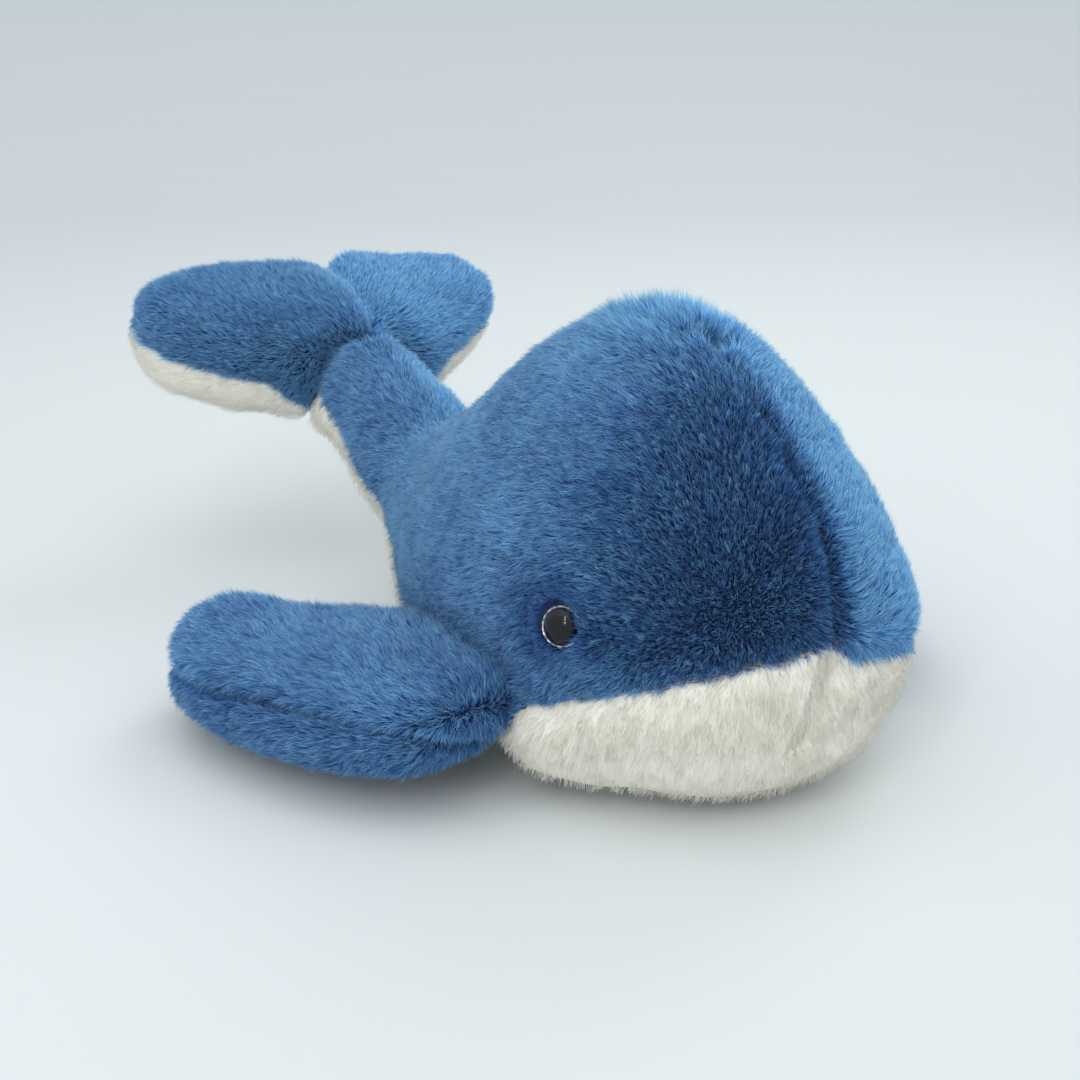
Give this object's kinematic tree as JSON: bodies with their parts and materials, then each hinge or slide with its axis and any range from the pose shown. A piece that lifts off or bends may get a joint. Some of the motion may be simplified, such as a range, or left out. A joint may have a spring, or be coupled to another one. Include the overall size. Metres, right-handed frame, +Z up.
{
  "type": "plush whale",
  "caption": "Plush whale lying on its belly: rounded blue body, cream underside, flexing tail stock with broad flukes, side flippers and domed safety eyes.",
  "frame": {"origin": "on the floor under the middle of the bounding box, the whale lying on its belly", "axes": "+Z up, -Y towards the nose, +X towards the whale's own left side"},
  "size_m": [0.2596, 0.3546, 0.1362],
  "materials": {
    "blue_plush": "long soft pile, steel blue",
    "cream_plush": "long soft pile, warm cream",
    "polyester_stuffing": "loose white fibre, hidden inside",
    "eye_plastic": "polished black",
    "washer_plastic": "natural moulded, hidden inside"
  },
  "bodies": {
    "body": {"body_panel_right": "blue_plush", "body_panel_left": "blue_plush", "belly_panel": "cream_plush", "body_fill": "polyester_stuffing", "eye_right": "eye_plastic", "eye_left": "eye_plastic", "eye_washer_right": "washer_plastic", "eye_washer_left": "washer_plastic"},
    "tail": {"tail_panel_upper": "blue_plush", "tail_panel_lower": "cream_plush", "tail_fill": "polyester_stuffing"},
    "flukes": {"fluke_panel_upper": "blue_plush", "fluke_panel_lower": "cream_plush", "fluke_fill": "polyester_stuffing"},
    "flipper_right": {"flipper_upper_panel_right": "blue_plush", "flipper_lower_panel_right": "blue_plush", "flipper_fill_right": "polyester_stuffing"},
    "flipper_left": {"flipper_upper_panel_left": "blue_plush", "flipper_lower_panel_left": "blue_plush", "flipper_fill_left": "polyester_stuffing"}
  },
  "joints": [
    {"name": "tail_lift", "type": "hinge", "parent": "body", "child": "tail", "pos_m": [0.0045, 0.05466, 0.0455], "axis": [1, 0, 0], "range_deg": [-18, 20], "stiffness_Nm_per_rad": 1, "springref_deg": 1.72},
    {"name": "fluke_tilt", "type": "hinge", "parent": "tail", "child": "flukes", "pos_m": [0.0045, 0.12161, 0.07672], "axis": [1, 0, 0], "range_deg": [-20, 20], "stiffness_Nm_per_rad": 0.5, "springref_deg": 1.15},
    {"name": "flipper_right_swing", "type": "hinge", "parent": "body", "child": "flipper_right", "pos_m": [-0.07522, -0.08134, 0.027], "axis": [0, 1, 0], "range_deg": [-5, 40], "stiffness_Nm_per_rad": 0.4, "springref_deg": 0.57},
    {"name": "flipper_left_swing", "type": "hinge", "parent": "body", "child": "flipper_left", "pos_m": [0.08421, -0.08134, 0.027], "axis": [0, -1, 0], "range_deg": [-5, 40], "stiffness_Nm_per_rad": 0.4, "springref_deg": 0.57}
  ]
}
